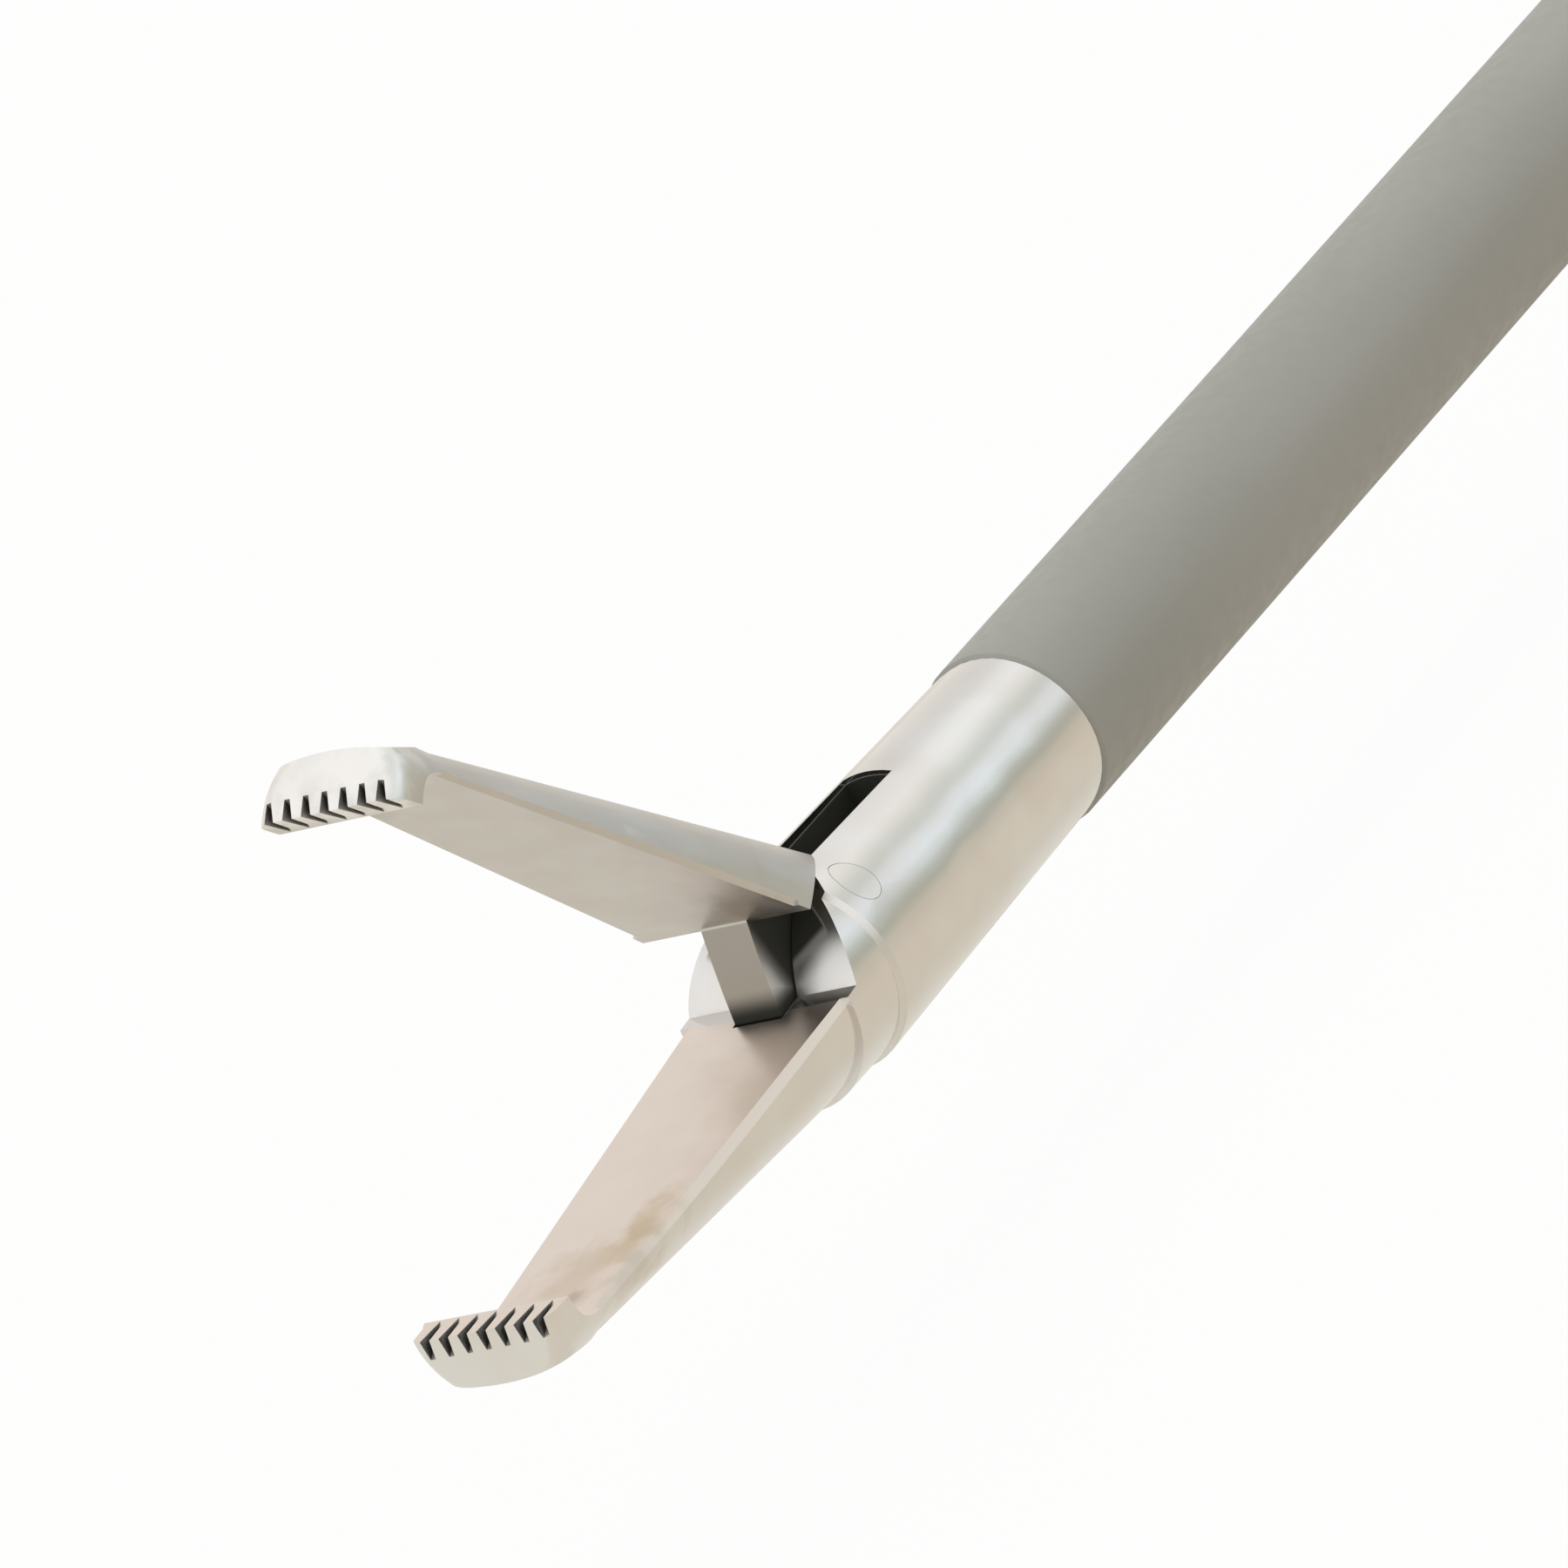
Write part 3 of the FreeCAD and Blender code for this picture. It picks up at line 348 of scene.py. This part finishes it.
# %% [markdown]
# ## Smooth surfaces
# The solids arrive as triangles whose corners aren't joined across faces. Shading them smooth as
# they are would leave seams, and joining everything would smear light round sharp edges. Three
# modifiers do what a finisher does: Weld joins the corners, Edge Split keeps every edge that turns
# by more than 24 degrees crisp, and Weighted Normal keeps large flat faces flat.

# %% Smooth all solids
def finish_surface(thing, crisp_degrees=24):
    """Even shading without moving a single vertex of the solid."""
    thing.data.shade_smooth()
    weld = thing.modifiers.new("join_corners", "WELD")
    weld.merge_threshold = 1e-6
    split = thing.modifiers.new("crisp_edges", "EDGE_SPLIT")
    split.split_angle = math.radians(crisp_degrees)
    flat = thing.modifiers.new("flat_faces", "WEIGHTED_NORMAL")
    flat.keep_sharp = True


for thing in nodes.values():
    finish_surface(thing)
print("smoothed", len(nodes), "solids,", sum(len(t.data.polygons) for t in nodes.values()), "faces")

# %% [markdown]
# ## Reading a surface in millimetres
# Every finish below starts from the same two readings of a surface: where a point is, in the
# part's own millimetres, and a cloudy noise of a chosen grain. They use the object's own
# coordinates, so a stain stays on its jaw when the jaw moves. Raw noise hardly leaves the middle
# of its range, so that middle is stretched before it is spread between two values.

# %% Helpers for the finishes
noise_low, noise_high = 0.33, 0.67


def in_mm(tree):
    scale = tree.nodes.new("ShaderNodeVectorMath")
    scale.operation = "SCALE"
    scale.inputs["Scale"].default_value = 1 / MM
    tree.links.new(reading(tree, "Object"), scale.inputs[0])
    return scale.outputs[0]


def grain_of(tree, point, grain, stretch=(1, 1, 1), detail=3.0):
    """Soft noise whose blotches are about grain millimetres wide."""
    mapping = tree.nodes.new("ShaderNodeMapping")
    mapping.inputs["Scale"].default_value = [s / grain for s in stretch]
    noise = tree.nodes.new("ShaderNodeTexNoise")
    noise.inputs["Scale"].default_value = 1.0
    noise.inputs["Detail"].default_value = detail
    tree.links.new(point, mapping.inputs["Vector"])
    tree.links.new(mapping.outputs[0], noise.inputs["Vector"])
    return noise.outputs["Fac"]


def cloud(tree, point, grain, low, high, stretch=(1, 1, 1)):
    """The same noise with its contrast raised, spread between two values."""
    return smooth_step(tree, grain_of(tree, point, grain, stretch), noise_low, noise_high, low, high)


def fine_relief(tree, bsdf, height, depth_mm, strength):
    bump = tree.nodes.new("ShaderNodeBump")
    bump.inputs["Strength"].default_value = strength
    bump.inputs["Distance"].default_value = depth_mm * MM
    tree.links.new(height, bump.inputs["Height"])
    tree.links.new(bump.outputs[0], bsdf.inputs["Normal"])


print("noise is stretched from", noise_low, "to", noise_high)

# %% [markdown]
# ## Sleeve
# The shaft is insulated with a tight grey plastic sleeve, smooth and matt. One colour would look
# like paint, so two close greys drift into each other along the shaft, and a fine grain breaks
# its sheen.

# %% Sleeve finish
def grey_sleeve():
    made, tree, bsdf = new_finish("grey_sleeve")
    point = in_mm(tree)
    drift = cloud(tree, point, grain=6.0, low=0.0, high=1.0, stretch=(0.35, 1, 1))
    tone = mixed(tree, drift, (0.318, 0.317, 0.283), (0.350, 0.345, 0.312))
    tree.links.new(tone, bsdf.inputs["Base Color"])
    tree.links.new(cloud(tree, point, grain=0.5, low=0.42, high=0.55), bsdf.inputs["Roughness"])
    fine_relief(tree, bsdf, grain_of(tree, point, grain=0.12), depth_mm=0.003, strength=0.25)
    return made


finishes = {"grey_sleeve": grey_sleeve()}
print("made", *finishes)

# %% [markdown]
# ## Turned steel, plastics and rubber
# The parts that the photograph leaves out are finished plainly, as such parts are: turned metal
# with fine rings round its axis, black moulded plastic with the fine pitted skin that a spark
# eroded mould leaves, white guide plastic and dark rubber. One function makes them all, because
# they differ only in two tones, in sheen and in the grain of their skin.

# %% Plain finishes
def plain_finish(name, tones, sheen, grain, relief, metal=0.0, stretch=(1, 1, 1)):
    """tones and sheen are (low, high), grain the pits' size in mm, relief (depth in mm, strength)."""
    made, tree, bsdf = new_finish(name)
    bsdf.inputs["Metallic"].default_value = metal
    point = in_mm(tree)
    tone = mixed(tree, cloud(tree, point, grain=4.0, low=0.0, high=1.0), *tones)
    tree.links.new(tone, bsdf.inputs["Base Color"])
    tree.links.new(cloud(tree, point, 2 * grain, *sheen, stretch=stretch), bsdf.inputs["Roughness"])
    fine_relief(tree, bsdf, grain_of(tree, point, grain, stretch), *relief)
    return made


plain_skins = {
    "plain_steel": dict(tones=((0.62, 0.62, 0.61), (0.68, 0.68, 0.67)), sheen=(0.22, 0.34), grain=0.08,
                        relief=(0.0008, 0.3), metal=1.0, stretch=(1, 0.15, 0.15)),
    "black_plastic": dict(tones=((0.022, 0.022, 0.024), (0.030, 0.030, 0.033)), sheen=(0.30, 0.44),
                          grain=0.25, relief=(0.012, 0.35)),
    "guide_plastic": dict(tones=((0.80, 0.79, 0.76), (0.84, 0.83, 0.80)), sheen=(0.35, 0.45),
                          grain=0.3, relief=(0.005, 0.3)),
    "silicone": dict(tones=((0.09, 0.10, 0.11), (0.11, 0.12, 0.13)), sheen=(0.5, 0.6),
                     grain=0.3, relief=(0.005, 0.3)),
}
for name, skin in plain_skins.items():
    finishes[name] = plain_finish(name, **skin)
print("made", ", ".join(plain_skins))

# %% [markdown]
# ## Masks
# The end piece and the jaws are worn and soiled in places, and each such place is a mask: a
# number from 0 to 1 all over the surface. It is worked out from where a point is, how its surface
# faces, or how much of the sky round it is covered. Masks that are multiplied keep what they
# share, and the highest of several masks joins them. Painted pictures would do the same, but they
# need an unwrapped mesh, and they are only as sharp as their pixels.

# %% Helpers for masks
def between(tree, value, edge, soft, rises=True):
    """A step at an edge that is 2 * soft wide; it goes from 0 to 1, or falls from 1 to 0."""
    ends = (0.0, 1.0) if rises else (1.0, 0.0)
    return smooth_step(tree, value, edge - soft, edge + soft, *ends)


def all_of(tree, *masks):
    product = masks[0]
    for mask in masks[1:]:
        product = calc(tree, "MULTIPLY", product, mask)
    return product


def any_of(tree, *masks):
    highest = masks[0]
    for mask in masks[1:]:
        highest = calc(tree, "MAXIMUM", highest, mask)
    return highest


def all_but(tree, mask, share=1.0):
    """1 outside a mask, and 1 less the share inside it."""
    return calc(tree, "SUBTRACT", 1.0, calc(tree, "MULTIPLY", mask, share))


print("mask helpers:", ", ".join(made.__name__ for made in (between, all_of, any_of, all_but)))

# %% [markdown]
# Where a point is can be told in several ways: how far it lies along a slanting direction, or how
# far it is from the hinge's pivot or from the shaft's axis, seen along that pivot or axis.

# %% Helpers for places
def vector_math(tree, operation, *values):
    node = tree.nodes.new("ShaderNodeVectorMath")
    node.operation = operation
    for socket, value in zip(node.inputs, values):
        feed(tree, socket, value)
    return node


def along(tree, vector, direction):
    """How far a vector reaches in a direction."""
    return vector_math(tree, "DOT_PRODUCT", vector, direction).outputs["Value"]


def distance_from(tree, point, centre, plane):
    """A point's distance from a centre, in one plane only: plane is 1 or 0 for each axis."""
    offset = vector_math(tree, "SUBTRACT", point, centre).outputs[0]
    in_plane = vector_math(tree, "MULTIPLY", offset, plane).outputs[0]
    return vector_math(tree, "LENGTH", in_plane).outputs["Value"]


def off_shaft_axis(tree, point):
    return distance_from(tree, point, (0, 0, 0), (0, 1, 1))


print("place helpers:", ", ".join(made.__name__ for made in (along, distance_from, off_shaft_axis)))

# %% [markdown]
# ## Painted shade in the hinge
# The hinge is the darkest place of all, and its shade is painted. The slot and the sides of the
# tang that swings in it are painted nearly black as shade, and so is a wedge on the fronts of the
# two cheeks, beside the slot. The rest of a cheek's front is bright but satin, so that it doesn't
# mirror the black tang. The tang's own front is painted a darker grey-brown as shade, down to a
# black foot. A place is found from its distance to the pivot, to the shaft's axis and to the middle
# plane, and from how it faces.

# %% Painted shade on the tang
# in the part's own millimetres, as the jaws stand open; a pair is an edge and half of its softness
pivot = (10.2, 0, 1.8)
tang_reach = (3.75, 0.02)
tang_half = (0.73, 0.01)
jaw_flat_faces, tang_below_flat = (0.718, 0, -0.696), (7.60, 0.02)
tang_in_slot = (2.30, 0.03)
tang_front_faces, tang_black_behind = (1, 0, -0.265), (12.75, 0.45)
tang_black_foot = (0.68, 0.34)
turned_sideways = (0.5, 0.1)
grey_shade_lost_on_sides = 0.55


def tang_painted_shade(tree, point, place):
    """The moving jaw's masks of painted shade: the tang's black sides and foot, its grey-brown front,
    and none satin.
    """
    sideways = calc(tree, "ABSOLUTE", parts_of(tree, reading(tree, "Normal"))["Y"])
    sides = between(tree, sideways, *turned_sideways)
    below_flat = between(tree, along(tree, point, jaw_flat_faces), *tang_below_flat)
    in_slot = between(tree, off_shaft_axis(tree, point), *tang_in_slot, rises=False)
    from_pivot = distance_from(tree, point, pivot, (1, 0, 1))
    off_middle = calc(tree, "ABSOLUTE", place["Y"])
    tang = all_of(tree, between(tree, from_pivot, *tang_reach, rises=False),
                  between(tree, off_middle, *tang_half, rises=False),
                  any_of(tree, sides, below_flat, in_slot))
    forward = along(tree, point, tang_front_faces)
    inside = all_of(tree, sides, between(tree, forward, *tang_black_behind, rises=False))
    foot = between(tree, place["Z"], *tang_black_foot, rises=False)
    black = all_of(tree, tang, any_of(tree, inside, foot))
    # painted shade: grey-brown over the whole tang, less of it on the sides, which are painted black
    grey_shade = all_of(tree, tang, all_but(tree, sides, grey_shade_lost_on_sides))
    return black, grey_shade, 0.0


print("the tang reaches", tang_reach[0], "mm from its pivot at", pivot)

# %% [markdown]
# The end piece's masks of painted shade follow its own shape: the slot through its middle, and the
# two cheeks whose fronts look forward just behind the jaw root.

# %% Painted shade on the cheeks
slot_half, slot_depth = (0.765, 0.01), (2.44, 0.03)
slot_start, slot_end = (4.0, 0.2), (13.1, 0.05)
cheek_start, cheek_end = (11.0, 0.2), (13.4, 0.05)
turned_forward = (0.3, 0.1)
wedge_slope, wedge_edge, wedge_outside = 0.54, (0.50, 0.20), (2.33, 0.03)


def cheek_painted_shade(tree, point, place):
    """The end piece's masks: its slot and wedges painted black as shade, no grey-brown shade, and its
    satin cheek fronts.
    """
    off_middle = calc(tree, "ABSOLUTE", place["Y"])
    off_axis = off_shaft_axis(tree, point)
    slot = all_of(tree, between(tree, off_middle, *slot_half, rises=False),
                  between(tree, off_axis, *slot_depth, rises=False),
                  between(tree, place["X"], *slot_start),
                  between(tree, place["X"], *slot_end, rises=False))
    front = all_of(tree, between(tree, place["X"], *cheek_start),
                   between(tree, place["X"], *cheek_end, rises=False),
                   between(tree, parts_of(tree, reading(tree, "Normal"))["X"], *turned_forward))
    slant = calc(tree, "SUBTRACT", place["Z"], calc(tree, "MULTIPLY", off_middle, wedge_slope))
    wedge = all_of(tree, front, between(tree, slant, *wedge_edge),
                   between(tree, off_axis, *wedge_outside, rises=False))
    return any_of(tree, slot, wedge), 0.0, front


print("the slot is black from", slot_start[0], "to", slot_end[0], "mm, and the cheeks' fronts are satin")

# %% [markdown]
# Corners and tooth grooves are painted near black too, as shade. An Ambient Occlusion node finds
# them, because it tells how much of the sky near a point is covered. The round outside behind the
# jaw root gets no painted shade.

# %% Painted shade in corners
corner_reach = 0.45
covered_sky = (0.42, 0.76)
unshaded_from_radius, unshaded_up_to = (2.33, 0.05), (13.7, 0.1)


def corner_painted_shade(tree, point, place):
    """1 deep in a corner or groove, where shade is painted, 0 in the open and on the round outside."""
    covered = tree.nodes.new("ShaderNodeAmbientOcclusion")
    covered.samples = 8
    covered.inputs["Distance"].default_value = corner_reach * MM
    deep = smooth_step(tree, covered.outputs["AO"], *covered_sky, out_low=1.0, out_high=0.0)
    left_unshaded = all_of(tree, between(tree, off_shaft_axis(tree, point), *unshaded_from_radius),
                   between(tree, place["X"], *unshaded_up_to, rises=False))
    return all_of(tree, deep, all_but(tree, left_unshaded))


print("corners are read within", corner_reach, "mm")

# %% [markdown]
# ## Polished steel
# The end piece and the jaws are stainless steel, polished to a soft mirror. A metal shader with a
# pale colour gives the mirror. Clouds of a few millimetres vary its tone, and a fine stretched
# noise gives the polishing marks. The jaws' inner flats are ground satin and look warmer, and use
# has left ragged stains beside the teeth. Near the jaw root a dark spot is a painted reflection of
# the dark hinge. Where shade is painted near black, the surface is made matt and not metal, so it
# loses its shine as well as its colour.

# %% Steel finish
# the first colour is the tang's grey-brown painted shade, the second the near-black painted shade of
# corners, grooves, slot and hinge
grey_shade_tone = (0.42, 0.39, 0.35)
painted_shade_black = (0.018, 0.018, 0.013)
polish_grain, satin_grain = 1.6, 1.2
satin_roughness = (0.29, 0.37)
painted_shade_roughness = 0.8
turned_as_flat = (0.45, 0.60)
spot_solid, spot_gone = 0.1, 1.1
edge_wander = 0.22


def spot(tree, point, centre, half, ragged=0.8):
    """A ragged spot, a stain or a patch of painted shade: 1 at its centre, 0 outside an ellipsoid of
    these half sizes, in millimetres.
    """
    mapping = tree.nodes.new("ShaderNodeMapping")
    mapping.vector_type = "TEXTURE"
    mapping.inputs["Location"].default_value = centre
    mapping.inputs["Scale"].default_value = half
    tree.links.new(point, mapping.inputs["Vector"])
    from_centre = vector_math(tree, "LENGTH", mapping.outputs[0]).outputs["Value"]
    broken = calc(tree, "ADD", from_centre, cloud(tree, point, ragged, -edge_wander, edge_wander))
    return smooth_step(tree, broken, spot_solid, spot_gone, out_low=1.0, out_high=0.0)


def polished_steel(name, tones, shine, flat_faces, flat_from, flat_colour, hinge, stains_and_shade_spots):
    """The inner flat is what faces flat_faces beyond the X of flat_from; hinge gives three masks,
    black painted shade, grey-brown painted shade and satin; a stain or a painted dark spot is (centre,
    half sizes, colour, share)."""
    made, tree, bsdf = new_finish(name)
    point = in_mm(tree)
    place = parts_of(tree, point)
    faces = along(tree, reading(tree, "Normal"), flat_faces)
    flat = all_of(tree, smooth_step(tree, faces, *turned_as_flat),
                  between(tree, place["X"], *flat_from))
    black, grey_shade, satin_front = hinge(tree, point, place)
    # painted shade: corners and grooves, and the hinge's black places
    shaded = any_of(tree, corner_painted_shade(tree, point, place), black)

    tone = mixed(tree, cloud(tree, point, grain=3.0, low=0.0, high=0.8), *tones)
    tone = mixed(tree, flat, tone, flat_colour)
    for centre, half, colour, share in stains_and_shade_spots:
        tone = mixed(tree, calc(tree, "MULTIPLY", spot(tree, point, centre, half), share), tone, colour)
    # the tang's grey-brown painted shade
    tone = mixed(tree, grey_shade, tone, grey_shade_tone)
    tree.links.new(mixed(tree, shaded, tone, painted_shade_black), bsdf.inputs["Base Color"])
    tree.links.new(all_but(tree, shaded), bsdf.inputs["Metallic"])

    polish = cloud(tree, point, polish_grain, *shine)
    satin = cloud(tree, point, satin_grain, *satin_roughness)
    rough = mixed(tree, any_of(tree, flat, satin_front), polish, satin, "FLOAT")
    rough = any_of(tree, rough, calc(tree, "MULTIPLY", shaded, painted_shade_roughness))
    tree.links.new(rough, bsdf.inputs["Roughness"])
    marks = grain_of(tree, point, grain=0.30, stretch=(0.25, 1, 1), detail=0.0)
    fine_relief(tree, bsdf, marks, depth_mm=0.001, strength=0.30)
    return made


print("soil is", painted_shade_black, "and stained steel", grey_shade_tone)

# %% [markdown]
# The moving jaw is duller than the end piece, and its flat and its stains lie where the open pose
# has them, 41.8 degrees up. The stains were placed from the photograph.

# %% The two steels
bright_steel = ((0.84, 0.835, 0.825), (0.80, 0.765, 0.73))
dulled_steel = ((0.67, 0.665, 0.66), (0.64, 0.62, 0.585))
open_angle = math.radians(41.8)

fixed_jaw_steel = polished_steel(
    "fixed_jaw_steel", tones=bright_steel, shine=(0.10, 0.17),
    flat_faces=(0.07, 0, 0.997), flat_from=(13.3, 0.02), flat_colour=(0.90, 0.80, 0.725),
    hinge=cheek_painted_shade,
    stains_and_shade_spots=[((22.5, 1.25, -0.4), (2.0, 0.8, 1.5), (0.66, 0.53, 0.34), 0.8),
            ((24.2, 0.3, -0.5), (2.0, 1.6, 1.5), (0.70, 0.58, 0.44), 0.6),
            ((25.1, 0.6, -0.3), (0.5, 0.4, 0.5), (0.36, 0.32, 0.31), 0.6),
            ((24.0, 1.9, -0.9), (2.6, 0.8, 1.2), (0.66, 0.60, 0.52), 0.5)])
moving_jaw_steel = polished_steel(
    "moving_jaw_steel", tones=dulled_steel, shine=(0.30, 0.38),
    flat_faces=(math.sin(open_angle), 0, -math.cos(open_angle)), flat_from=(10.0, 0.02),
    flat_colour=(0.66, 0.632, 0.60), hinge=tang_painted_shade,
    stains_and_shade_spots=[((23.64, 0, 13.43), (2.2, 6.0, 2.2), (0.97, 0.95, 0.92), 1.0),
            # painted reflection: this dark spot at the flat's root stands for the dark hinge mirrored in
            # it
            ((13.7, 1.35, 3.3), (1.3, 1.3, 1.3), (0.42, 0.41, 0.36), 0.6),
            ((20.95, -1.5, 10.75), (0.7, 0.7, 0.7), (0.48, 0.46, 0.40), 0.5)])
print("steel finishes:", fixed_jaw_steel.name, moving_jaw_steel.name)

# %% [markdown]
# ## Dress the solids
# The record names a material slot for every solid, so the finishes go on by these names. The
# moving jaw is told apart by its node, because it shares its slot with the end piece.

# %% Put the finishes on
finishes["polished_steel"] = fixed_jaw_steel
subparts = frame["record"]["subparts"]
for subpart in subparts:
    is_moving_jaw = subpart["node"] == "moving_jaw"
    slots = nodes[subpart["node"]].data.materials
    slots.clear()
    slots.append(moving_jaw_steel if is_moving_jaw else finishes[subpart["material_slot"]])
print("finishes on", len(subparts), "solids")
